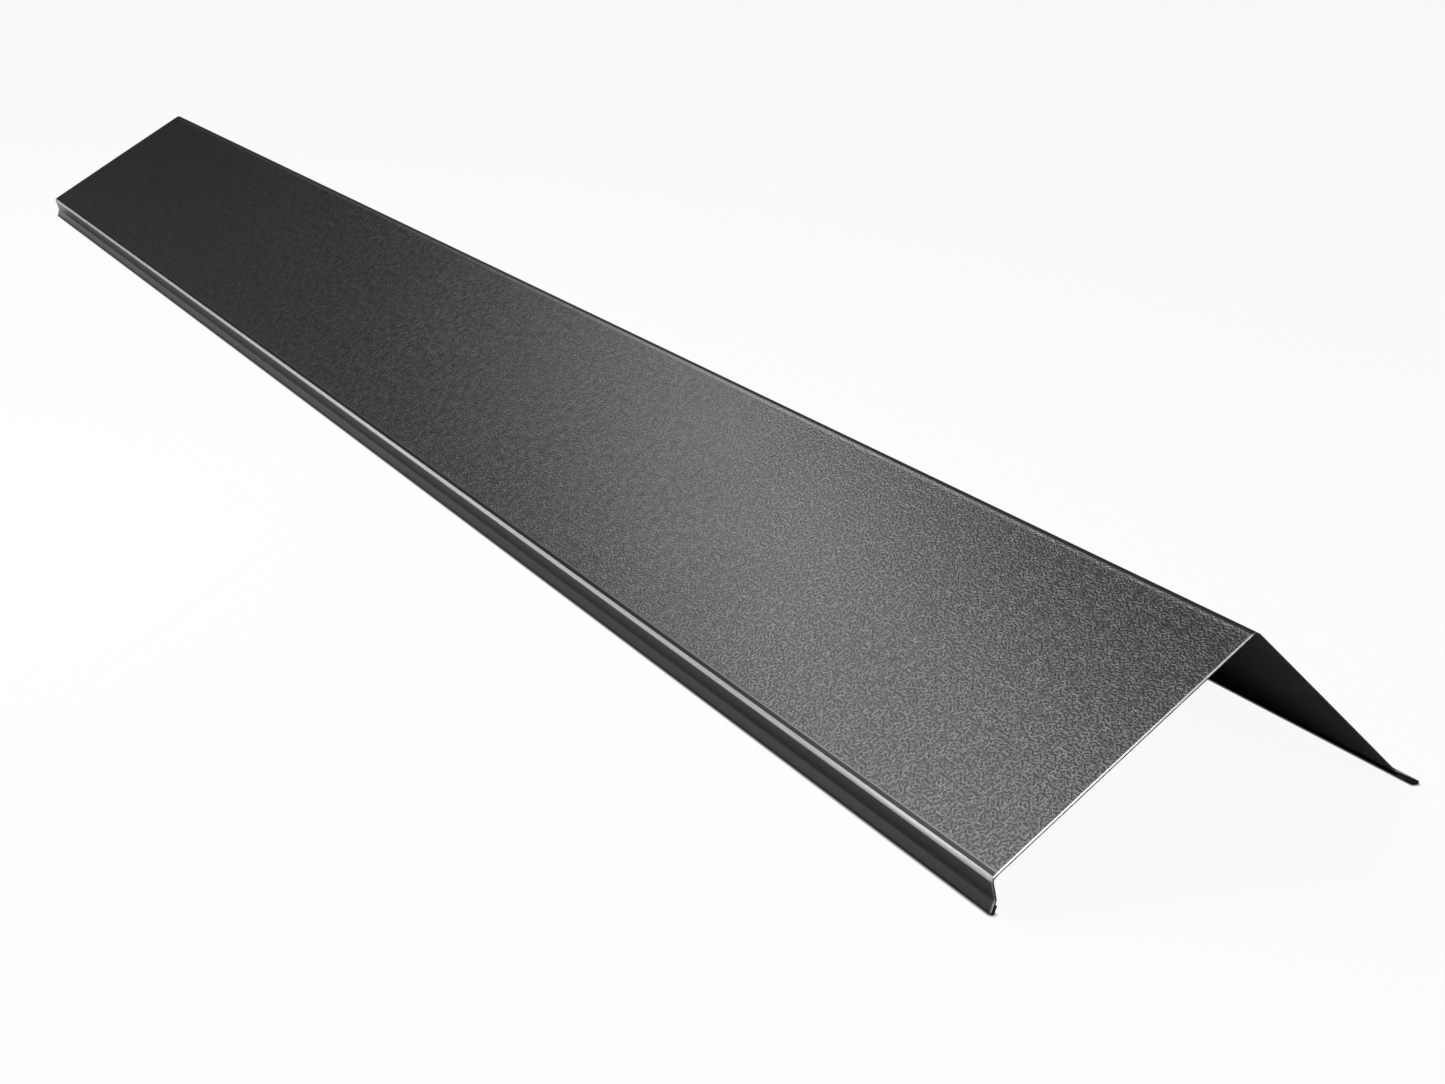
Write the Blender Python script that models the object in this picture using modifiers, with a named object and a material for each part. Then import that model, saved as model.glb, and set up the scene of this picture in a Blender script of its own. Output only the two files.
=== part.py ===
"""Verge flashing: one pre-coated steel sheet, folded to cover the sloping edge of a roof.

The part lies as it would on a level floor, on the noses of its two hems. Its length runs along Y, the
narrow lip is on the -X side, and the deep leg is on the +X side. Lengths are in metres.
"""

import math

import bmesh
import bpy
from mathutils import Matrix, Vector

# Sheet
LENGTH = 2.000
GAUGE = 0.00095  # 0.7 mm steel, 0.2 mm embossed plastisol on its face, and a backing coat

# Flanges, measured on the coated face from fold line to fold line
TOP_WIDTH = 0.210  # with the shoulder
SHOULDER_WIDTH = 0.0050  # a smooth band of the top, beside the lip
LEG_DEPTH = 0.200
LEG_KICK = 0.030  # drip edge under the leg, out to the nose of its hem
LIP_DEPTH = 0.0145
LIP_KICK = 0.0085  # the lip's foot, out to the nose of its hem
HEM_SHORT = 0.0030  # from a hem's free edge to the fold line of its kick

# Angles between flanges
RIDGE_ANGLE = math.radians(109.5)  # inside, between top and leg
LIP_ANGLE = math.radians(104)  # inside, between top and lip
SHOULDER_TURN = math.radians(7)  # how far the shoulder dips below the top's plane
LEG_KICK_TURN = math.radians(12)  # outward, away from the leg's plane
LIP_KICK_TURN = math.radians(34)  # outward, away from the lip's plane

# Inside radii of the folds
RIDGE_RADIUS = 0.0045
SHOULDER_RADIUS = 0.0060
LIP_RADIUS = 0.0020
KICK_RADIUS = 0.0040
HEM_RADIUS = 0.0004

FACET_ANGLE = math.radians(7.5)

COLOUR = (0.040, 0.040, 0.042, 1.0)  # anthracite
ROUGHNESS = 0.45


def coated_radius(turn, radius):
    """Radius of a fold on the coated face: the outer one where the sheet folds away from that face."""
    return radius + GAUGE if turn < 0 else radius


def setback(turn, radius):
    """Length that a fold takes from each of its two flanges, on the coated face."""
    return coated_radius(turn, radius) * math.tan(abs(turn) / 2)


def fold_steps():
    """The sheet's flats and folds from hem to hem, over the top. A flat is a length, and a fold is a turn
    (left positive) and its inside radius. The coated face is on the left of the way walked."""
    nose = HEM_RADIUS + GAUGE
    hem = (-math.pi, HEM_RADIUS)
    lip_kick = (LIP_KICK_TURN, KICK_RADIUS)
    lip_fold = (LIP_ANGLE - math.pi + SHOULDER_TURN, LIP_RADIUS)
    shoulder = (-SHOULDER_TURN, SHOULDER_RADIUS)
    ridge = (RIDGE_ANGLE - math.pi, RIDGE_RADIUS)
    leg_kick = (LEG_KICK_TURN, KICK_RADIUS)
    return [
        LIP_KICK - nose - HEM_SHORT,
        hem,
        LIP_KICK - nose - setback(*lip_kick),
        lip_kick,
        LIP_DEPTH - setback(*lip_kick) - setback(*lip_fold),
        lip_fold,
        SHOULDER_WIDTH - setback(*lip_fold) - setback(*shoulder),
        shoulder,
        TOP_WIDTH - SHOULDER_WIDTH - setback(*shoulder) - setback(*ridge),
        ridge,
        LEG_DEPTH - setback(*ridge) - setback(*leg_kick),
        leg_kick,
        LEG_KICK - nose - setback(*leg_kick),
        hem,
        LEG_KICK - nose - HEM_SHORT,
    ]


def walk(steps):
    """Middle line of the sheet's section as points, with the centres of its two hems."""
    place = Vector((0.0, 0.0))
    heading = 0.0
    points = [place.copy()]
    hem_centres = []
    for step in steps:
        if isinstance(step, float):
            place = place + step * Vector((math.cos(heading), math.sin(heading)))
            points.append(place.copy())
            continue
        turn, radius = step
        side = math.copysign(1.0, turn)
        middle_radius = radius + GAUGE / 2
        to_centre = side * Vector((-math.sin(heading), math.cos(heading)))
        centre = place + middle_radius * to_centre
        if abs(turn) == math.pi:
            hem_centres.append(centre.copy())
        facets = max(2, math.ceil(abs(turn) / FACET_ANGLE - 1e-6))
        for k in range(1, facets + 1):
            arm = Matrix.Rotation(turn * k / facets, 2) @ (-to_centre)
            points.append(centre + middle_radius * arm)
        place = points[-1].copy()
        heading += turn
    return points, hem_centres


def at_rest(points, hem_centres):
    """Turns the section until both hems touch the floor, and centres it over the origin."""
    across = hem_centres[1] - hem_centres[0]
    level = Matrix.Rotation(-math.atan2(across.y, across.x), 2)
    turned = [level @ p for p in points]
    middle = (min(p.x for p in turned) + max(p.x for p in turned)) / 2
    floor = min(p.y for p in turned) - GAUGE / 2
    return [p - Vector((middle, floor)) for p in turned]


def coated_steel():
    material = bpy.data.materials.new("coated_steel")
    material.use_nodes = True
    shader = material.node_tree.nodes["Principled BSDF"]
    shader.inputs["Base Color"].default_value = COLOUR
    shader.inputs["Roughness"].default_value = ROUGHNESS
    shader.inputs["Metallic"].default_value = 0.0
    return material


def folded_sheet(name, section):
    """The section's middle line drawn out along Y, given the sheet's gauge by Solidify."""
    cage = bmesh.new()
    near = [cage.verts.new((p.x, -LENGTH / 2, p.y)) for p in section]
    edges = [cage.edges.new(pair) for pair in zip(near, near[1:])]
    drawn = bmesh.ops.extrude_edge_only(cage, edges=edges)["geom"]
    far = [v for v in drawn if isinstance(v, bmesh.types.BMVert)]
    bmesh.ops.translate(cage, vec=(0.0, LENGTH, 0.0), verts=far)
    mesh = bpy.data.meshes.new(name)
    cage.to_mesh(mesh)
    cage.free()
    sheet = bpy.data.objects.new(name, mesh)
    sheet.data.materials.append(coated_steel())
    solidify = sheet.modifiers.new("gauge", "SOLIDIFY")
    solidify.thickness = GAUGE
    solidify.offset = 0.0
    solidify.use_even_offset = True
    mesh.shade_smooth()
    mesh.set_sharp_from_angle(angle=math.radians(30))
    return sheet


def main():
    for obj in list(bpy.data.objects):
        bpy.data.objects.remove(obj, do_unlink=True)
    collection = bpy.data.collections.new("verge_flashing")
    bpy.context.scene.collection.children.link(collection)
    section = at_rest(*walk(fold_steps()))
    collection.objects.link(folded_sheet("verge_flashing", section))


main()
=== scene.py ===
"""Verge flashing: an embossed, plastisol-coated steel sheet, folded for the sloping edge of a roof.

The sheet lies on a level floor on the noses of its two hems. Its length runs along Y, the narrow lip is
on the -X side, and the deep leg is on the +X side. Lengths are in metres.
"""

import math
import bpy
import numpy as np
from mathutils import Matrix, Vector


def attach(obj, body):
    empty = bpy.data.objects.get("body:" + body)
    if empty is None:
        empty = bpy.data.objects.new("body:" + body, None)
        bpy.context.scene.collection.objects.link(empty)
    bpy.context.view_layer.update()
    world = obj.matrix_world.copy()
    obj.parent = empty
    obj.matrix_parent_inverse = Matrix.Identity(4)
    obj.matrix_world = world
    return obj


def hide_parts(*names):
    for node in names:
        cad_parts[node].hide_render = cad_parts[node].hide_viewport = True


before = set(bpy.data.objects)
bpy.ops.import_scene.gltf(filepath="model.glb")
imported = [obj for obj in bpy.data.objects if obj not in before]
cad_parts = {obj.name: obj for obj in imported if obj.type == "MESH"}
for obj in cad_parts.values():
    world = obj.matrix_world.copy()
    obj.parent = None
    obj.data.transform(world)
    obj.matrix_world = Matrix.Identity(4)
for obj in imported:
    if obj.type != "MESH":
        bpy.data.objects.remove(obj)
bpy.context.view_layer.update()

bl_info = {
    "name": "Verge Flashing",
    "version": (1, 0, 0),
    "blender": (4, 5, 0),
    "location": "3D View > Sidebar > Flashing",
    "description": "Folds a coated steel verge flashing and sets it in a pale studio",
    "category": "Object",
}

MM = 0.001
NODE = "verge_flashing"
COATED, BURNISHED, TORN_SHADE, BACKED, STRETCHED_HIGHLIGHT = range(5)

# Places of some flats and folds in the list of fold_steps
LIP_FLAT, SHOULDER_FLAT, SHOULDER_BEND, TOP_FLAT = 4, 6, 7, 8

# The section: flats up to the narrow width have no grain, those over the wide one stray from true, a fold
# under the tight radius stretches the coat and takes a painted highlight, and the rims are slim facets
# beside a fold and beside the painted highlight line at the ridge
NARROW_FLAT, WIDE_FLAT, TIGHT_RADIUS = 20 * MM, 100 * MM, 3 * MM
FLAT_STEP, FOLD_RIM, PAINTED_LINE_RIM = 12 * MM, 0.4 * MM, 0.4 * MM
FOLD_FACET, HEM_FACET, FEWEST_FACETS = math.radians(4), math.radians(9), 6

# Edges that turn by more than this stay sharp
SHARP_ANGLE = math.radians(35)

# The length: stations along half of it and across the arris, and the power by which the arris drops
HALF_STATIONS, ARRIS_STATIONS, ARRIS_POWER = 50, 5, 1.5
BACKING_THICKNESS = 0.05 * MM

# Long waves of the wide flats: share of the waviness, length in metres and phase in radians
WAVES = ((0.6, 0.83, 1.0), (0.4, 0.47, 2.1))

# Grain of the face coat: noise cells from one wrinkle to the next, turns of the sine over the noise's range,
# depth of the faintest patches, strength of the speckles and of the painted highlight and shade lines, and
# drift of the roughness
WRINKLE_CELLS, WRINKLE_TURNS = 1.9, 1.5
FAINTEST, SPECKLE, PAINTED_LIGHT_STRENGTH, DRIFT = 0.35, 0.9, 0.8, 0.015

# Values that a noise seldom leaves, and the shader's plain level of reflection
NOISE_LOW, NOISE_HIGH, PLAIN_SHINE = 0.3, 0.7, 0.5

# Patterns that change slowly over the sheet: clouds in the coat, streaks in the backing, crazing of the
# stretched coat (across the fold, then along it), and the orange peel's pitch and depth
CLOUD, STREAK, CRAZING = 110 * MM, 25 * MM, (1.1 * MM, 80 * MM)
PEEL_PITCH, PEEL_DEPTH = 1.4 * MM, 0.006 * MM

# Brightness against the plain colour, of crazed coat, of thinly rolled backing and of scored steel
CRAZED, THIN, SCORED = 0.8, 1.3, 0.75

# Studio: how sharply the floor darkens, and heights between which the room's light and the horizon's
# white fade, as the upward part of the ray's direction
SHADE_POWER, ROOM_FADE, WHITE_FADE = 4.0, (0.3, 1.0), (0.04, 0.12)


def linear(code):
    """Linear colour with alpha from an sRGB hex value."""
    parts = [int(code.lstrip("#")[i : i + 2], 16) / 255 for i in (0, 2, 4)]
    return tuple(c / 12.92 if c <= 0.04045 else ((c + 0.055) / 1.055) ** 2.4 for c in parts) + (1.0,)


def length(name, description, default):
    return bpy.props.FloatProperty(
        name=name, description=description, default=default, precision=5, unit="LENGTH"
    )


def angle(name, description, degrees):
    return bpy.props.FloatProperty(
        name=name,
        description=description,
        default=math.radians(degrees),
        precision=3,
        subtype="ANGLE",
        unit="ROTATION",
    )


def number(name, description, default):
    return bpy.props.FloatProperty(name=name, description=description, default=default, precision=3)


def colour(name, description, code):
    return bpy.props.FloatVectorProperty(
        name=name,
        description=description,
        default=linear(code),
        size=4,
        min=0.0,
        max=1.0,
        subtype="COLOR",
    )


class FlashingSizes(bpy.types.PropertyGroup):
    """Sizes of the folded sheet. Flanges are measured on the coated face, from fold line to fold line."""

    sheet_length: length("Length", "Length of the piece along the verge", 2.0)
    gauge: length("Gauge", "Thickness of the sheet over both coats", 0.95 * MM)
    top_width: length("Top", "Width of the top, with its shoulder", 210 * MM)
    shoulder_width: length("Shoulder", "Smooth band of the top beside the lip", 5 * MM)
    leg_depth: length("Leg", "Depth of the leg over the barge board", 200 * MM)
    leg_kick: length("Drip edge", "Drip edge under the leg, out to its hem's nose", 30 * MM)
    lip_depth: length("Lip", "Depth of the lip", 14.5 * MM)
    lip_kick: length("Lip's foot", "Foot of the lip, out to its hem's nose", 8.5 * MM)
    hem_short: length("Hem's shortfall", "From a hem's free edge to its kick's fold line", 3 * MM)
    ridge_angle: angle("Ridge", "Inside angle between top and leg", 109.5)
    lip_angle: angle("Lip's fold", "Inside angle between top and lip", 104)
    shoulder_turn: angle("Shoulder's dip", "Dip of the shoulder below the top", 7)
    leg_kick_turn: angle("Drip edge's turn", "Outward turn of the drip edge", 12)
    lip_kick_turn: angle("Foot's turn", "Outward turn of the lip's foot", 34)
    ridge_radius: length("Ridge radius", "Inside radius of the fold at the ridge", 4.5 * MM)
    shoulder_radius: length("Shoulder radius", "Inside radius at the shoulder", 6 * MM)
    lip_radius: length("Lip radius", "Inside radius of the lip's fold", 2 * MM)
    kick_radius: length("Kick radius", "Inside radius of both kicks", 4 * MM)
    hem_radius: length("Hem radius", "Inside radius of both hems", 0.4 * MM)
    arris_width: length("Arris width", "Bare band along the cut ends, wiped by the shear", 1.2 * MM)
    arris_drop: length("Arris drop", "How far the shear bends that band down", 0.06 * MM)
    # The shiny line beside the ridge is a painted highlight, a lighter and glossier band of the coat
    highlight_width: length("Rub's width", "Width of the shiny line beside the ridge", 2.0 * MM)
    ridge_highlight: number("Rub at the ridge", "Strength of that line, 1 being the shoulder's", 2.0)
    waviness: length("Waviness", "How far the flats stray from true, as rolled sheet does", 0.3 * MM)


class FlashingFinish(bpy.types.PropertyGroup):
    """Colours and grain of the sheet's coats and cut edges."""

    coat_colour: colour("Coat", "Anthracite face coat", "#2e2e2f")
    # The stretched coat's pale colour is partly real and partly a painted highlight along the lip's fold
    stretched_highlight_colour: colour("Stretched coat", "Face coat that a tight fold stretches and pales", "#bcbdbf")
    coat_roughness: number("Coat's roughness", "Roughness of the face coat", 0.34)
    # The real grain is about 1.5 mm apart. It is drawn as coarse as it needs to be to show at 2 m.
    grain_pitch: length("Grain pitch", "From one wrinkle of the embossed grain to the next", 3.2 * MM)
    grain_depth: length("Grain depth", "Depth of the embossed grain", 0.14 * MM)
    # The grain contrast also paints shade into the furrows and light onto the tops
    grain_contrast: number("Grain contrast", "How far its tops and furrows differ from the mean", 0.67)
    backing_colour: colour("Backing coat", "Dark grey primer on the reverse side", "#444546")
    steel_colour: colour("Sheared steel", "Bare arris, burnished by the blade", "#b9babb")
    # The torn cut face's near-black colour is painted shade
    torn_shade_colour: colour("Torn steel", "Rough cut edge, below the arris", "#1f1f20")


class FlashingStudio(bpy.types.PropertyGroup):
    """Camera, floor and lamps of the studio."""

    floor_colour: colour("Floor", "Pale floor", "#ebebeb")
    floor_size: length("Floor's size", "Side of the square floor", 200.0)
    floor_lit: number("Floor's shading", "Share of the floor's look that comes from the lamps", 0.06)
    camera_place: bpy.props.FloatVectorProperty(
        name="Camera",
        description="Place of the camera",
        default=(-0.7808, -1.6086, 0.5079),
        size=3,
        precision=4,
        subtype="TRANSLATION",
        unit="LENGTH",
    )
    camera_heading: angle("Heading", "Heading of the camera from +Y towards +X", 34.05)
    camera_pitch: angle("Pitch", "How far the camera looks down", 20.09)
    camera_roll: angle("Roll", "Roll of the camera about its line of sight", 4.53)
    camera_lens: number("Lens", "Focal length in millimetres", 44.986)
    contact: length("Contact shadow", "How far the floor darkens beside what touches it", 2.5 * MM)
    shade: length("Shade", "How far above the floor the object takes light from it in reflections", 0.25)
    key_power: number("Softbox", "Power of the softbox over the far half, in watts", 13.5)
    key_twist: angle("Softbox's twist", "Turn of that softbox about its line to the piece", 12)
    fill_power: number("Front fill", "Power of the fill light behind the camera, in watts", 60.0)
    near_box: number("Near box", "Power of the small softbox over the near end, in watts", 7.0)
    near_strip: number("Near strip", "Power of the strip light beside the near end, in watts", 4.0)
    middle_strip: number("Middle strip", "Power of the next strip light, in watts", 1.4)
    far_strip: number("Far strip", "Power of the strip light past the far end, in watts", 0.8)
    room_low: number("Room, low", "Strength of the room's own light at the horizon", 0.015)
    room_light: number("Room, overhead", "Strength of the room's own light overhead", 0.06)


def fold_steps(sizes):
    """The sheet's flats and folds from hem to hem, over the top. A flat is its length, and a fold is its
    turn, left positive, with its inside radius. The coated face is on the left of the way walked. Each
    fold takes its coated radius times the tangent of half its turn from both of its flanges."""

    def setback(turn, radius):
        coated = radius + sizes.gauge if turn < 0 else radius
        return coated * math.tan(abs(turn) / 2)

    nose = sizes.hem_radius + sizes.gauge
    hem = (-math.pi, sizes.hem_radius)
    lip_kick = (sizes.lip_kick_turn, sizes.kick_radius)
    lip_fold = (sizes.lip_angle - math.pi + sizes.shoulder_turn, sizes.lip_radius)
    shoulder = (-sizes.shoulder_turn, sizes.shoulder_radius)
    ridge = (sizes.ridge_angle - math.pi, sizes.ridge_radius)
    leg_kick = (sizes.leg_kick_turn, sizes.kick_radius)
    top = sizes.top_width - sizes.shoulder_width
    return [
        sizes.lip_kick - nose - sizes.hem_short,
        hem,
        sizes.lip_kick - nose - setback(*lip_kick),
        lip_kick,
        sizes.lip_depth - setback(*lip_kick) - setback(*lip_fold),
        lip_fold,
        sizes.shoulder_width - setback(*lip_fold) - setback(*shoulder),
        shoulder,
        top - setback(*shoulder) - setback(*ridge),
        ridge,
        sizes.leg_depth - setback(*ridge) - setback(*leg_kick),
        leg_kick,
        sizes.leg_kick - nose - setback(*leg_kick),
        hem,
        sizes.leg_kick - nose - sizes.hem_short,
    ]


def spaced(span):
    """Distances along a flat: even steps, with one point close to each end that holds the fold's shading."""
    if span < 3 * FOLD_RIM:
        return np.linspace(0.0, span, 3)[1:]
    steps = math.ceil((span - 2 * FOLD_RIM) / FLAT_STEP)
    inner = np.linspace(FOLD_RIM, span - FOLD_RIM, max(2, steps + 1))
    return np.concatenate([inner, [span]])


def section(sizes):
    """Middle line of the sheet's section: place, heading and distance walked at each point, its fold (2 in a
    tight fold, 1 in an easy one or on a narrow flat, 0 on a wide flat), its painted light (a painted
    highlight of 1 at the shoulder's bend, a painted reflection fading from 1 at the lip's fold to 0 at its
    kick, a painted highlight of the ridge line's strength in a line beside the ridge, and painted shade of
    -1 on the band between shoulder and lip), and its part across a wide flat from 0 to 1. A flat is a
    straight line. A fold is an arc whose place is its centre plus the middle radius turned from the arm that
    it starts on."""
    place, heading = np.zeros(2), 0.0
    places, headings, walked = [place[None]], [np.zeros(1)], [np.zeros(1)]
    folded, painted_light, across, hem_centres = [np.zeros(1)], [np.zeros(1)], [np.zeros(1)], []
    for order, step in enumerate(fold_steps(sizes)):
        if isinstance(step, float):
            along = spaced(step)
            painted_line_start = step - sizes.highlight_width
            if order == TOP_FLAT:
                along = np.sort([*along, painted_line_start - PAINTED_LINE_RIM, painted_line_start])
            ahead = np.array([math.cos(heading), math.sin(heading)])
            places.append(place + along[:, None] * ahead)
            headings.append(np.full(len(along), heading))
            walked.append(walked[-1][-1] + along)
            folded.append(np.full(len(along), 1.0 if step < NARROW_FLAT else 0.0))
            # Painted light on the flats: a painted reflection fading down the lip, painted shade on the
            # shoulder's band, and a painted highlight beside the ridge
            painted_here = {
                LIP_FLAT: along / step,
                SHOULDER_FLAT: -np.ones(len(along)),
                TOP_FLAT: sizes.ridge_highlight * (along > painted_line_start - PAINTED_LINE_RIM / 2),
            }
            painted_light.append(painted_here.get(order, np.zeros(len(along))))
            across.append(along / step if step > WIDE_FLAT else np.zeros(len(along)))
            place = places[-1][-1]
            continue
        turn, radius = step
        is_hem = abs(turn) > math.pi / 2
        facets = max(FEWEST_FACETS, math.ceil(abs(turn) / (HEM_FACET if is_hem else FOLD_FACET)))
        bend = turn * np.arange(1, facets + 1) / facets
        side = math.copysign(1.0, turn)
        middle = radius + sizes.gauge / 2
        centre = place + side * middle * np.array([-math.sin(heading), math.cos(heading)])
        if is_hem:
            hem_centres.append(centre)
        out = heading + bend
        places.append(centre + side * middle * np.stack([np.sin(out), -np.cos(out)], 1))
        headings.append(out)
        walked.append(walked[-1][-1] + middle * np.abs(bend))
        tight = radius < TIGHT_RADIUS and not is_hem
        folded.append(np.full(facets, 2.0 if tight else 1.0))
        # A painted highlight along the shoulder's bend
        painted_light.append(np.full(facets, 1.0 if order == SHOULDER_BEND else 0.0))
        across.append(np.zeros(facets))
        place, heading = places[-1][-1], heading + turn
    parts = (places, headings, walked, folded, painted_light, across)
    joined = [np.concatenate(part) for part in parts]
    return (*joined, hem_centres)


def at_rest(places, headings, hem_centres, gauge):
    """The section turned until both hems touch the floor, and centred over the origin."""
    run, rise = hem_centres[1] - hem_centres[0]
    lean = -math.atan2(rise, run)
    turned = places @ np.array(
        [[math.cos(lean), math.sin(lean)], [-math.sin(lean), math.cos(lean)]]
    )
    middle = (turned[:, 0].min() + turned[:, 0].max()) / 2
    floor = turned[:, 1].min() - gauge / 2
    return turned - (middle, floor), headings + lean


def stations(sizes):
    """Distances along Y: even steps, and at each end a few more that follow the arris as it drops."""
    half, width = sizes.sheet_length / 2, sizes.arris_width
    ends = half - width * np.linspace(1, 0, ARRIS_STATIONS)
    right = np.concatenate([np.linspace(0, half - 2 * width, HALF_STATIONS)[1:], ends])
    return np.concatenate([-right[::-1], [0.0], right])


def folded_sheet(sizes):
    """The section carried along Y as one closed shell. A point of the coated face is the middle line plus
    half the gauge along the face's normal, less the drop of the arris near a cut end, which grows as the
    share passed of its width to the power of one and a half. A point of the reverse is the middle line less
    half the gauge. Wide flats stray from true by sines along the length and a sine squared across. Each cut
    end is filled by strips across the gauge, from the coat to the backing. Also gives each face's slot,
    each point's place on the flat sheet (distance walked, then along Y), what the folding did to the coat
    there, and the painted highlights, reflection and shade along its fold lines."""
    places, headings, walked, folded, painted_light, across, hem_centres = section(sizes)
    places, headings = at_rest(places, headings, hem_centres, sizes.gauge)
    along = stations(sizes)
    normals = np.stack([-np.sin(headings), np.cos(headings)], 1)
    count, rows = len(places), len(along)

    stray = sizes.waviness * np.sin(math.pi * across) ** 2 * (across > 0)
    slow = sum(share * np.sin(along * math.tau / wave + phase) for share, wave, phase in WAVES)
    drift = slow[:, None] * stray[None]
    passed = np.clip(1 - (sizes.sheet_length / 2 - np.abs(along)) / sizes.arris_width, 0, 1)
    drop = sizes.arris_drop * passed**ARRIS_POWER

    # Depth below the coated face of the borders of the cut's bands: torn steel painted dark as shade, then
    # the backing coat
    layers = np.array([0.0, sizes.gauge - BACKING_THICKNESS, sizes.gauge])
    bands = [TORN_SHADE, BACKED]
    depths = np.repeat(layers[None], rows, 0)
    depths[:, 0] = drop

    def shell(columns, depth):
        """Points at a depth below the coated face, for some columns of the section at every station."""
        off = sizes.gauge / 2 - depth[:, None] + drift[:, columns]
        x = places[columns, 0] + off * normals[columns, 0]
        z = places[columns, 1] + off * normals[columns, 1]
        return np.stack([x, np.repeat(along[:, None], len(columns), 1), z], 2)

    every = np.arange(count)
    last = len(layers) - 1
    columns = [every, *[every[-1:]] * (last - 1), every[::-1], *[every[:1]] * (last - 1)]
    levels = [*range(last), last, *range(last - 1, 0, -1)]
    ring = np.concatenate([shell(part, depths[:, k]) for part, k in zip(columns, levels)], 1)
    around = ring.shape[1]
    index = np.arange(rows * around).reshape(rows, around)

    here, ahead = index[:-1], index[1:]
    walls = np.stack([here, np.roll(here, -1, 1), np.roll(ahead, -1, 1), ahead], 2)
    strip = np.zeros(around, int)
    # Tight folds take the stretched coat, whose pale colour is partly a painted highlight
    strip[: count - 1] = np.where(folded[1:] > 1, STRETCHED_HIGHLIGHT, COATED)
    strip[count - 1 : count + last - 1] = bands
    strip[count + last - 1 : 2 * count + last - 2] = BACKED
    strip[2 * count + last - 2 :] = bands[::-1]
    skin = np.repeat(strip[None], rows - 1, 0)
    on_arris = np.maximum(passed[:-1], passed[1:]) > 1e-6
    skin[on_arris, : count - 1] = BURNISHED
    slots = [skin.ravel()]
    faces = [walls.reshape(-1, 4)]

    points = [ring.reshape(-1, 3)]
    held = [np.tile(np.concatenate(columns), rows)]
    total = rows * around
    inside = every[1:-1]
    for row in (0, rows - 1):
        grid = np.zeros((last + 1, count), int)
        grid[0] = index[row, :count]
        grid[last] = index[row, count + last - 1 : 2 * count + last - 1][::-1]
        for k in range(1, last):
            grid[k, -1] = index[row, count - 1 + k]
            grid[k, 0] = index[row, 2 * count + last - 1 + (last - 1 - k)]
            fill = shell(inside, depths[:, k])[row]
            grid[k, 1:-1] = total + np.arange(len(inside))
            points.append(fill)
            held.append(inside)
            total += len(inside)
        quads = np.stack([grid[:-1, :-1], grid[:-1, 1:], grid[1:, 1:], grid[1:, :-1]], 2)
        if row == 0:
            quads = quads[:, :, ::-1]
        faces.append(quads.reshape(-1, 4))
        slots.append(np.repeat(bands, count - 1))
    points, held = np.concatenate(points), np.concatenate(held)
    unfolded = np.stack([walked[held], points[:, 1], np.zeros(len(points))], 1)
    values = {"folded": folded[held], "painted_light": painted_light[held]}
    return points, np.concatenate(faces), np.concatenate(slots), unfolded, values


def add_node(tree, kind, settings=None, inputs=None, links=None):
    """Adds a node, sets its own settings and its sockets' values, and links sockets to other outputs."""
    node = tree.nodes.new(kind)
    for key, value in (settings or {}).items():
        setattr(node, key, value)
    for key, value in (inputs or {}).items():
        node.inputs[key].default_value = value
    for key, output in (links or {}).items():
        tree.links.new(output, node.inputs[key])
    return node


def scaled(tone, factor):
    """A colour with its red, green and blue times a factor."""
    return [part * factor for part in tone[:3]] + [1.0]


def new_material(name):
    material = bpy.data.materials.new(name)
    material.use_nodes = True
    tree = material.node_tree
    tree.nodes.clear()
    return material, tree


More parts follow.
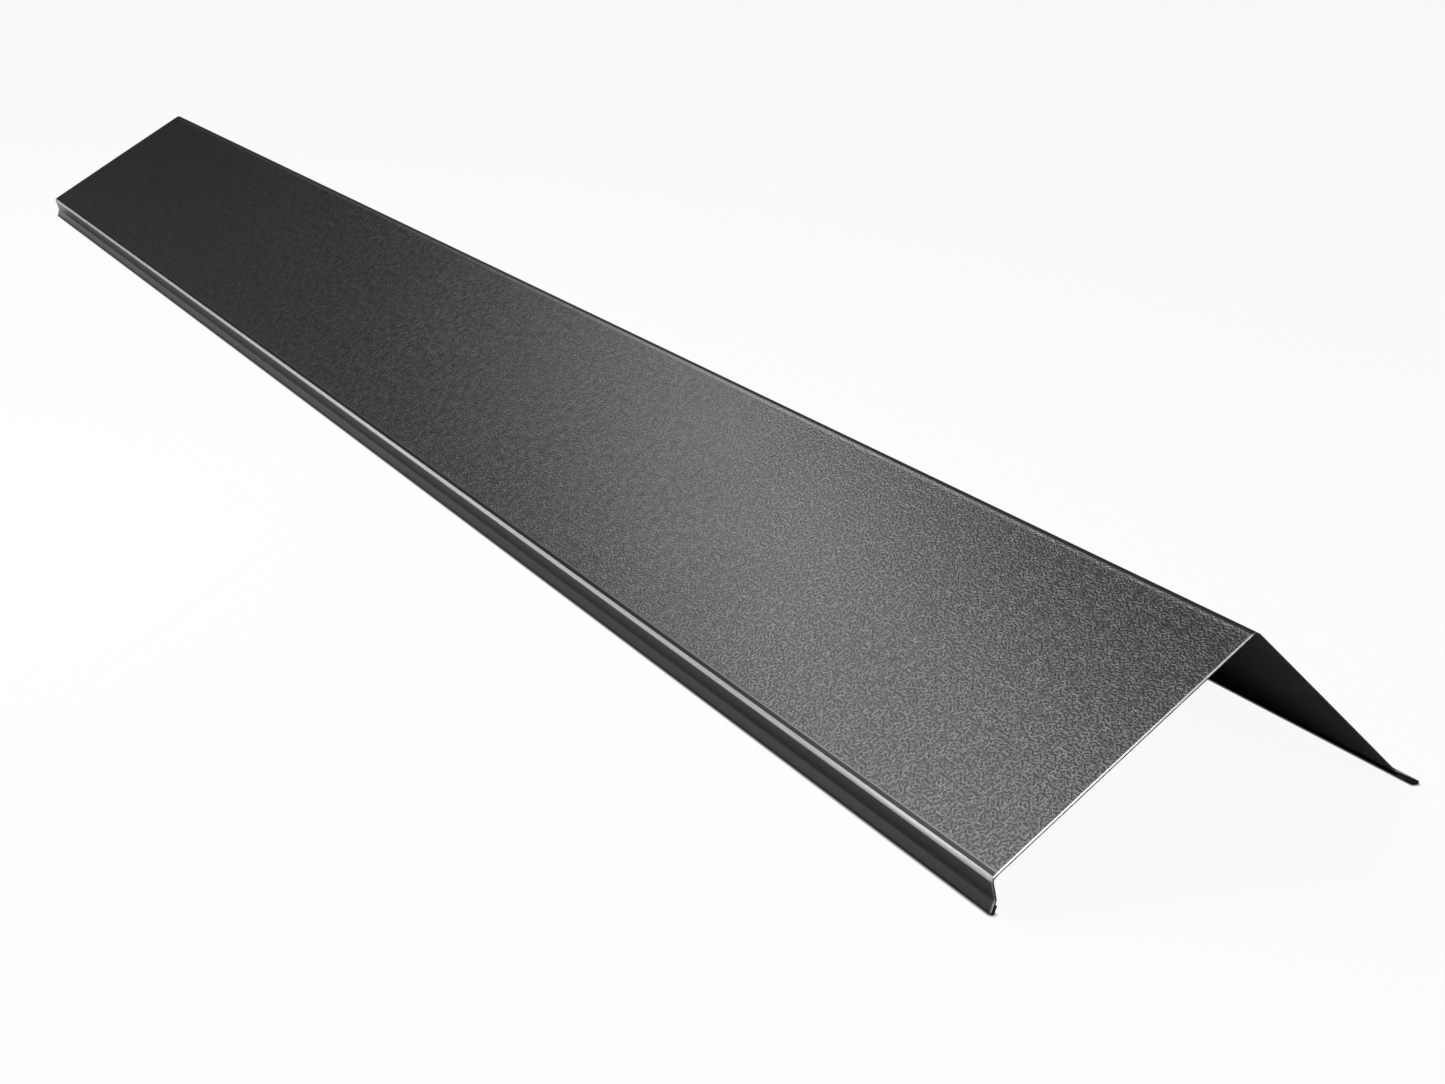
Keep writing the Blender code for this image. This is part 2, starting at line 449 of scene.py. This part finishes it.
def embossed_plastisol(finish):
    """Plastisol on galvanised steel: a thick soft PVC coat, its leather grain pressed in by a roller while
    warm. The eye sees a low, wide sheen broken up by raised wrinkles, whose tops shine more than the
    furrows between them. Folding presses them flat. The colour also holds painted light: the furrows are
    painted darker as shade and the tops lighter, and painted highlights, a painted reflection and painted
    shade run along the fold lines."""
    material, tree = new_material("embossed_plastisol")
    at, folded, painted_light = (
        add_node(tree, "ShaderNodeAttribute", {"attribute_name": name})
        for name in ("flat_place", "folded", "painted_light")
    )
    where = {"Vector": at.outputs["Vector"]}
    # The wrinkles are the high places of a noise, and a sine evens them out to one height
    swirl = add_node(
        tree,
        "ShaderNodeTexNoise",
        inputs={"Scale": WRINKLE_CELLS / finish.grain_pitch, "Detail": 0.0},
        links=where,
    )
    turns = add_node(
        tree,
        "ShaderNodeMath",
        {"operation": "MULTIPLY_ADD"},
        {1: WRINKLE_TURNS * math.tau, 2: -WRINKLE_TURNS / 2 * math.tau},
        {0: swirl.outputs["Fac"]},
    )
    wave = add_node(tree, "ShaderNodeMath", {"operation": "SINE"}, links={0: turns.outputs[0]})
    patches = add_node(
        tree,
        "ShaderNodeTexNoise",
        inputs={"Scale": 1 / (2 * finish.grain_pitch), "Detail": 1.0},
        links=where,
    )
    vigour = add_node(
        tree,
        "ShaderNodeMapRange",
        inputs={
            "From Min": NOISE_LOW,
            "From Max": NOISE_HIGH,
            "To Min": FAINTEST,
            "To Max": 1.0,
        },
        links={"Value": patches.outputs["Fac"]},
    )
    kept = add_node(
        tree,
        "ShaderNodeMapRange",
        {"interpolation_type": "SMOOTHSTEP"},
        {"From Min": 0.0, "From Max": 1.0, "To Min": 1.0, "To Max": 0.0},
        {"Value": folded.outputs["Fac"]},
    )
    strength = add_node(
        tree,
        "ShaderNodeMath",
        {"operation": "MULTIPLY"},
        links={0: vigour.outputs["Result"], 1: kept.outputs["Result"]},
    )
    height = add_node(
        tree,
        "ShaderNodeMath",
        {"operation": "MULTIPLY"},
        links={0: wave.outputs[0], 1: strength.outputs[0]},
    )
    bump = add_node(
        tree,
        "ShaderNodeBump",
        inputs={"Strength": 1.0, "Distance": finish.grain_depth / 2},
        links={"Height": height.outputs[0]},
    )

    # Seen from afar the wrinkles merge, and only their uneven depth still shows as speckles
    uneven = add_node(
        tree,
        "ShaderNodeMath",
        {"operation": "MULTIPLY_ADD"},
        {1: 2 * SPECKLE, 2: -SPECKLE},
        {0: patches.outputs["Fac"]},
    )
    speckle = add_node(
        tree,
        "ShaderNodeMath",
        {"operation": "MULTIPLY_ADD"},
        links={0: uneven.outputs[0], 1: kept.outputs["Result"], 2: height.outputs[0]},
    )
    # Painted light: painted highlights as lighter, glossier lines at the shoulder and beside the ridge, a
    # painted reflection fading down the lip, and painted shade darkening the band beside the lip
    speckle_and_painted_light = add_node(
        tree,
        "ShaderNodeMath",
        {"operation": "MULTIPLY_ADD"},
        {1: PAINTED_LIGHT_STRENGTH},
        {0: painted_light.outputs["Fac"], 2: speckle.outputs[0]},
    )
    furrow, crest = 1 - finish.grain_contrast, 1 + finish.grain_contrast
    share, shine = (
        add_node(
            tree,
            "ShaderNodeMapRange",
            {"clamp": False},
            {"From Min": -1.0, "From Max": 1.0, "To Min": low, "To Max": high},
            {"Value": speckle_and_painted_light.outputs[0]},
        )
        for low, high in ((0.0, 1.0), (PLAIN_SHINE * furrow, PLAIN_SHINE * crest))
    )
    # The tint is painted light: shade painted into the furrows, light onto the tops, and the painted
    # highlight and shade lines of the folds
    tint = add_node(
        tree,
        "ShaderNodeMix",
        {"data_type": "RGBA"},
        {"A": scaled(finish.coat_colour, furrow), "B": scaled(finish.coat_colour, crest)},
        {"Factor": share.outputs["Result"]},
    )
    cloud = add_node(
        tree,
        "ShaderNodeTexNoise",
        inputs={"Scale": 1 / CLOUD, "Detail": 3.0, "Roughness": 0.55},
        links=where,
    )
    rough = add_node(
        tree,
        "ShaderNodeMapRange",
        inputs={
            "From Min": NOISE_LOW,
            "From Max": NOISE_HIGH,
            "To Min": finish.coat_roughness - DRIFT,
            "To Max": finish.coat_roughness + DRIFT,
        },
        links={"Value": cloud.outputs["Fac"]},
    )
    shader = add_node(
        tree,
        "ShaderNodeBsdfPrincipled",
        inputs={"IOR": 1.5, "Metallic": 0.0},
        links={
            "Base Color": tint.outputs["Result"],
            "Roughness": rough.outputs["Result"],
            "Specular IOR Level": shine.outputs["Result"],
            "Normal": bump.outputs["Normal"],
        },
    )
    add_node(tree, "ShaderNodeOutputMaterial", links={"Surface": shader.outputs["BSDF"]})
    return material


def stretched_plastisol_highlight(finish):
    """The same coat where a fold stretches it over the steel: the grain is drawn flat, the folding beam
    rubs it glossy, and its pale colour is partly the stretched PVC and partly a painted highlight along the
    fold."""
    material, tree = new_material("stretched_plastisol_highlight")
    at = add_node(tree, "ShaderNodeAttribute", {"attribute_name": "flat_place"})
    drawn = add_node(
        tree,
        "ShaderNodeMapping",
        inputs={"Scale": (1 / CRAZING[0], 1 / CRAZING[1], 1.0)},
        links={"Vector": at.outputs["Vector"]},
    )
    crazing = add_node(
        tree,
        "ShaderNodeTexNoise",
        inputs={"Scale": 1.0, "Detail": 1.0},
        links={"Vector": drawn.outputs["Vector"]},
    )
    pale = add_node(
        tree,
        "ShaderNodeMix",
        {"data_type": "RGBA"},
        {"A": scaled(finish.stretched_highlight_colour, CRAZED), "B": tuple(finish.stretched_highlight_colour)},
        {"Factor": crazing.outputs["Fac"]},
    )
    shader = add_node(
        tree,
        "ShaderNodeBsdfPrincipled",
        inputs={"IOR": 2.2, "Roughness": 0.22},
        links={"Base Color": pale.outputs["Result"]},
    )
    add_node(tree, "ShaderNodeOutputMaterial", links={"Surface": shader.outputs["BSDF"]})
    return material


def epoxy_backing(finish):
    """Epoxy primer rolled thin on the reverse: flat and dark, with a faint orange peel from the roller."""
    material, tree = new_material("epoxy_backing")
    at = add_node(tree, "ShaderNodeAttribute", {"attribute_name": "flat_place"})
    peel = add_node(
        tree,
        "ShaderNodeTexNoise",
        inputs={"Scale": 1 / PEEL_PITCH, "Detail": 2.0},
        links={"Vector": at.outputs["Vector"]},
    )
    bump = add_node(
        tree,
        "ShaderNodeBump",
        inputs={"Strength": 1.0, "Distance": PEEL_DEPTH},
        links={"Height": peel.outputs["Fac"]},
    )
    streaks = add_node(
        tree,
        "ShaderNodeTexNoise",
        inputs={"Scale": 1 / STREAK, "Detail": 3.0},
        links={"Vector": at.outputs["Vector"]},
    )
    tint = add_node(
        tree,
        "ShaderNodeMix",
        {"data_type": "RGBA"},
        {"A": tuple(finish.backing_colour), "B": scaled(finish.backing_colour, THIN)},
        {"Factor": streaks.outputs["Fac"]},
    )
    shader = add_node(
        tree,
        "ShaderNodeBsdfPrincipled",
        inputs={"IOR": 1.5, "Roughness": 0.4},
        links={"Base Color": tint.outputs["Result"], "Normal": bump.outputs["Normal"]},
    )
    add_node(tree, "ShaderNodeOutputMaterial", links={"Surface": shader.outputs["BSDF"]})
    return material


def cut_steel(name, tone, roughness, spacing):
    """Galvanised steel cut by a guillotine: the blade wipes the coat off the arris and burnishes it bright,
    and the rest tears off rough. The torn part's near-black tone is painted shade on the cut face. Fine
    lines follow the cut, across the gauge."""
    material, tree = new_material(name)
    at = add_node(tree, "ShaderNodeAttribute", {"attribute_name": "flat_place"})
    lines = add_node(
        tree,
        "ShaderNodeTexNoise",
        inputs={"Scale": 1 / spacing, "Detail": 2.0},
        links={"Vector": at.outputs["Vector"]},
    )
    tint = add_node(
        tree,
        "ShaderNodeMix",
        {"data_type": "RGBA"},
        {"A": scaled(tone, SCORED), "B": tuple(tone)},
        {"Factor": lines.outputs["Fac"]},
    )
    shader = add_node(
        tree,
        "ShaderNodeBsdfPrincipled",
        inputs={"Metallic": 1.0, "Roughness": roughness},
        links={"Base Color": tint.outputs["Result"]},
    )
    add_node(tree, "ShaderNodeOutputMaterial", links={"Surface": shader.outputs["BSDF"]})
    return material


def rays_that_show(tree, path):
    """One for the rays by which the camera sees something, straight or in a reflection or through glass."""
    seen = add_node(
        tree,
        "ShaderNodeMath",
        {"operation": "ADD"},
        links={0: path.outputs["Is Camera Ray"], 1: path.outputs["Is Glossy Ray"]},
    )
    return add_node(
        tree,
        "ShaderNodeMath",
        {"operation": "ADD", "use_clamp": True},
        links={0: seen.outputs[0], 1: path.outputs["Is Transmission Ray"]},
    )


def pale_vinyl(studio):
    """Matt white vinyl floor. To the camera and in reflections most of it is plain white, darker where the
    object shuts out the sky: close by for the camera, and far around in reflections, which would else shine
    where the real floor lies in shade. The rest is lit by the lamps, so that the object's shadow stays."""
    material, tree = new_material("pale_vinyl")
    path = add_node(tree, "ShaderNodeLightPath")
    shown = rays_that_show(tree, path)
    share = add_node(
        tree,
        "ShaderNodeMath",
        {"operation": "MULTIPLY"},
        {1: 1.0 - studio.floor_lit},
        {0: shown.outputs[0]},
    )
    lit = add_node(tree, "ShaderNodeBsdfDiffuse", inputs={"Color": tuple(studio.floor_colour)})
    beside = add_node(
        tree, "ShaderNodeAmbientOcclusion", {"samples": 8}, {"Distance": studio.contact}
    )
    under = add_node(
        tree, "ShaderNodeAmbientOcclusion", {"samples": 8}, {"Distance": studio.shade}
    )
    open_sky = add_node(
        tree,
        "ShaderNodeMix",
        {"data_type": "FLOAT"},
        links={
            "Factor": path.outputs["Is Glossy Ray"],
            "A": beside.outputs["AO"],
            "B": under.outputs["AO"],
        },
    )
    shade = add_node(
        tree,
        "ShaderNodeMath",
        {"operation": "POWER"},
        {1: SHADE_POWER},
        {0: open_sky.outputs["Result"]},
    )
    white = add_node(
        tree,
        "ShaderNodeEmission",
        inputs={"Color": (1, 1, 1, 1)},
        links={"Strength": shade.outputs[0]},
    )
    mix = add_node(
        tree,
        "ShaderNodeMixShader",
        links={0: share.outputs[0], 1: lit.outputs[0], 2: white.outputs[0]},
    )
    add_node(tree, "ShaderNodeOutputMaterial", links={"Surface": mix.outputs[0]})
    return material


def room(studio):
    """The room's own light: a soft grey overhead that fades to dark low down. Just over the horizon the
    white of the floor goes on, where the camera sees it. Z runs from 0 at the horizon to 1 overhead."""
    world = bpy.data.worlds.new("studio_room")
    bpy.context.scene.world = world
    world.use_nodes = True
    tree = world.node_tree
    tree.nodes.clear()
    where = add_node(tree, "ShaderNodeTexCoord")
    parts = add_node(tree, "ShaderNodeSeparateXYZ", links={"Vector": where.outputs["Generated"]})
    rise = add_node(
        tree,
        "ShaderNodeMapRange",
        {"interpolation_type": "SMOOTHSTEP"},
        {
            "From Min": ROOM_FADE[0],
            "From Max": ROOM_FADE[1],
            "To Min": studio.room_low,
            "To Max": studio.room_light,
        },
        {"Value": parts.outputs["Z"]},
    )
    band = add_node(
        tree,
        "ShaderNodeMapRange",
        {"interpolation_type": "SMOOTHSTEP"},
        {"From Min": WHITE_FADE[0], "From Max": WHITE_FADE[1], "To Min": 1.0, "To Max": 0.0},
        {"Value": parts.outputs["Z"]},
    )
    shown = rays_that_show(tree, add_node(tree, "ShaderNodeLightPath"))
    low = add_node(
        tree,
        "ShaderNodeMath",
        {"operation": "MULTIPLY"},
        links={0: band.outputs["Result"], 1: shown.outputs[0]},
    )
    strength = add_node(
        tree,
        "ShaderNodeMix",
        {"data_type": "FLOAT"},
        {"B": 1.0 - studio.floor_lit},
        {"A": rise.outputs["Result"], "Factor": low.outputs[0]},
    )
    glow = add_node(
        tree,
        "ShaderNodeBackground",
        inputs={"Color": (1, 1, 1, 1)},
        links={"Strength": strength.outputs["Result"]},
    )
    add_node(tree, "ShaderNodeOutputWorld", links={"Surface": glow.outputs[0]})


def softbox(name, place, aim, size, power, twist=0.0):
    """A rectangular area lamp at a place, turned to a point that it aims at, and twisted about the line to
    it. It isn't seen itself."""
    lamp = bpy.data.lights.new(name, "AREA")
    lamp.shape = "RECTANGLE"
    lamp.size, lamp.size_y = size
    lamp.energy = power
    box = bpy.data.objects.new(name, lamp)
    bpy.context.scene.collection.objects.link(box)
    away = Vector(place) - Vector(aim)
    turn = away.to_track_quat("Z", "Y").to_matrix().to_4x4() @ Matrix.Rotation(twist, 4, "Z")
    box.matrix_world = Matrix.Translation(place) @ turn
    box.visible_camera = False


def camera_matrix(studio):
    """Turns heading, pitch and roll into the camera's axes: right, up and back, then its place."""
    heading, pitch, roll = studio.camera_heading, studio.camera_pitch, studio.camera_roll
    ahead = Vector(
        (
            math.sin(heading) * math.cos(pitch),
            math.cos(heading) * math.cos(pitch),
            -math.sin(pitch),
        )
    )
    right = ahead.cross(Vector((0, 0, 1))).normalized()
    up = right.cross(ahead)
    right, up = (
        right * math.cos(roll) + up * math.sin(roll),
        up * math.cos(roll) - right * math.sin(roll),
    )
    turn = Matrix((right, up, -ahead)).transposed().to_4x4()
    return Matrix.Translation(studio.camera_place) @ turn


class FLASHING_OT_fold_sheet(bpy.types.Operator):
    """Folds the coated sheet and puts it in the place of its CAD node"""

    bl_idname = "flashing.fold_sheet"
    bl_label = "Fold the Sheet"

    def execute(self, context):
        sizes, finish = context.scene.flashing_sizes, context.scene.flashing_finish
        points, faces, slots, unfolded, values = folded_sheet(sizes)
        mesh = bpy.data.meshes.new("folded_sheet")
        mesh.from_pydata(points, [], faces)
        sheet = bpy.data.objects.new("folded_sheet", mesh)
        context.scene.collection.objects.link(sheet)
        for material in (
            embossed_plastisol(finish),
            cut_steel("burnished_steel", finish.steel_colour, 0.45, 0.12 * MM),
            # The torn steel's near-black tone is painted shade on the cut face
            cut_steel("torn_steel_shade", finish.torn_shade_colour, 0.6, 0.2 * MM),
            epoxy_backing(finish),
            stretched_plastisol_highlight(finish),
        ):
            mesh.materials.append(material)
        mesh.polygons.foreach_set("material_index", slots.astype(np.int32))

        place = mesh.attributes.new("flat_place", "FLOAT_VECTOR", "POINT")
        place.data.foreach_set("vector", unfolded.astype(np.float32).ravel())
        for name, value in values.items():
            attribute = mesh.attributes.new(name, "FLOAT", "POINT")
            attribute.data.foreach_set("value", value.astype(np.float32))

        mesh.shade_smooth()
        mesh.set_sharp_from_angle(angle=SHARP_ANGLE)
        if mesh.validate():
            raise RuntimeError("the sheet's mesh had faces that Blender had to mend")
        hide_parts(NODE)
        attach(sheet, "root")
        return {"FINISHED"}


class FLASHING_OT_set_studio(bpy.types.Operator):
    """Lays the pale floor, and sets the lamps, the room and the camera"""

    bl_idname = "flashing.set_studio"
    bl_label = "Set the Studio"

    def execute(self, context):
        scene, studio = context.scene, context.scene.flashing_studio
        half = studio.floor_size / 2
        corners = np.array([[-half, -half, 0], [half, -half, 0], [half, half, 0], [-half, half, 0]])
        mesh = bpy.data.meshes.new("studio_floor")
        mesh.from_pydata(corners, [], [(0, 1, 2, 3)])
        mesh.materials.append(pale_vinyl(studio))
        floor = bpy.data.objects.new("studio_floor", mesh)
        scene.collection.objects.link(floor)

        room(studio)
        middle, lip_x, lip_z = (0.0, 0.0, 0.08), -0.18, 0.02
        softbox("key", (-0.489, 0.782, 1.556), middle, (1.44, 0.5), studio.key_power, studio.key_twist)
        softbox("front_fill", (-0.9, -3.2, 2.6), middle, (2.0, 1.6), studio.fill_power)
        softbox("near_box", (-0.6, -0.27, 1.38), (lip_x, -1.0, lip_z), (0.5, 0.5), studio.near_box)
        strips = (
            ("near_strip", -1.0, 0.6, studio.near_strip),
            ("middle_strip", 0.6, 2.0, studio.middle_strip),
            ("far_strip", 2.0, 4.2, studio.far_strip),
        )
        # The strips stand in line beside the lip, and its fold mirrors them as a bright line
        for name, start, end, power in strips:
            y = (start + end) / 2
            softbox(name, (-0.95, y, 0.30), (lip_x, y, lip_z), (0.2, end - start), power)

        camera = bpy.data.cameras.new("photo_camera")
        camera.lens = studio.camera_lens
        camera.clip_end = studio.floor_size
        eye = bpy.data.objects.new("photo_camera", camera)
        scene.collection.objects.link(eye)
        eye.matrix_world = camera_matrix(studio)
        scene.camera = eye
        scene.view_settings.view_transform = "Standard"
        return {"FINISHED"}


class FLASHING_PT_sidebar(bpy.types.Panel):
    """Lists the flashing's steps, sizes, finish and studio"""

    bl_idname = "FLASHING_PT_sidebar"
    bl_label = "Verge Flashing"
    bl_space_type = "VIEW_3D"
    bl_region_type = "UI"
    bl_category = "Flashing"

    def draw(self, context):
        layout, scene = self.layout, context.scene
        layout.operator(FLASHING_OT_fold_sheet.bl_idname)
        layout.operator(FLASHING_OT_set_studio.bl_idname)
        for group in (scene.flashing_sizes, scene.flashing_finish, scene.flashing_studio):
            box = layout.box()
            for key in group.__annotations__:
                box.prop(group, key)


GROUPS = {
    "flashing_sizes": FlashingSizes,
    "flashing_finish": FlashingFinish,
    "flashing_studio": FlashingStudio,
}
CLASSES = (
    *GROUPS.values(),
    FLASHING_OT_fold_sheet,
    FLASHING_OT_set_studio,
    FLASHING_PT_sidebar,
)


def register():
    for cls in CLASSES:
        bpy.utils.register_class(cls)
    for name, group in GROUPS.items():
        setattr(bpy.types.Scene, name, bpy.props.PointerProperty(type=group))


def unregister():
    for name in GROUPS:
        delattr(bpy.types.Scene, name)
    for cls in reversed(CLASSES):
        bpy.utils.unregister_class(cls)


def main():
    register()
    bpy.ops.flashing.fold_sheet()
    bpy.ops.flashing.set_studio()


if __name__ == "__main__":
    main()
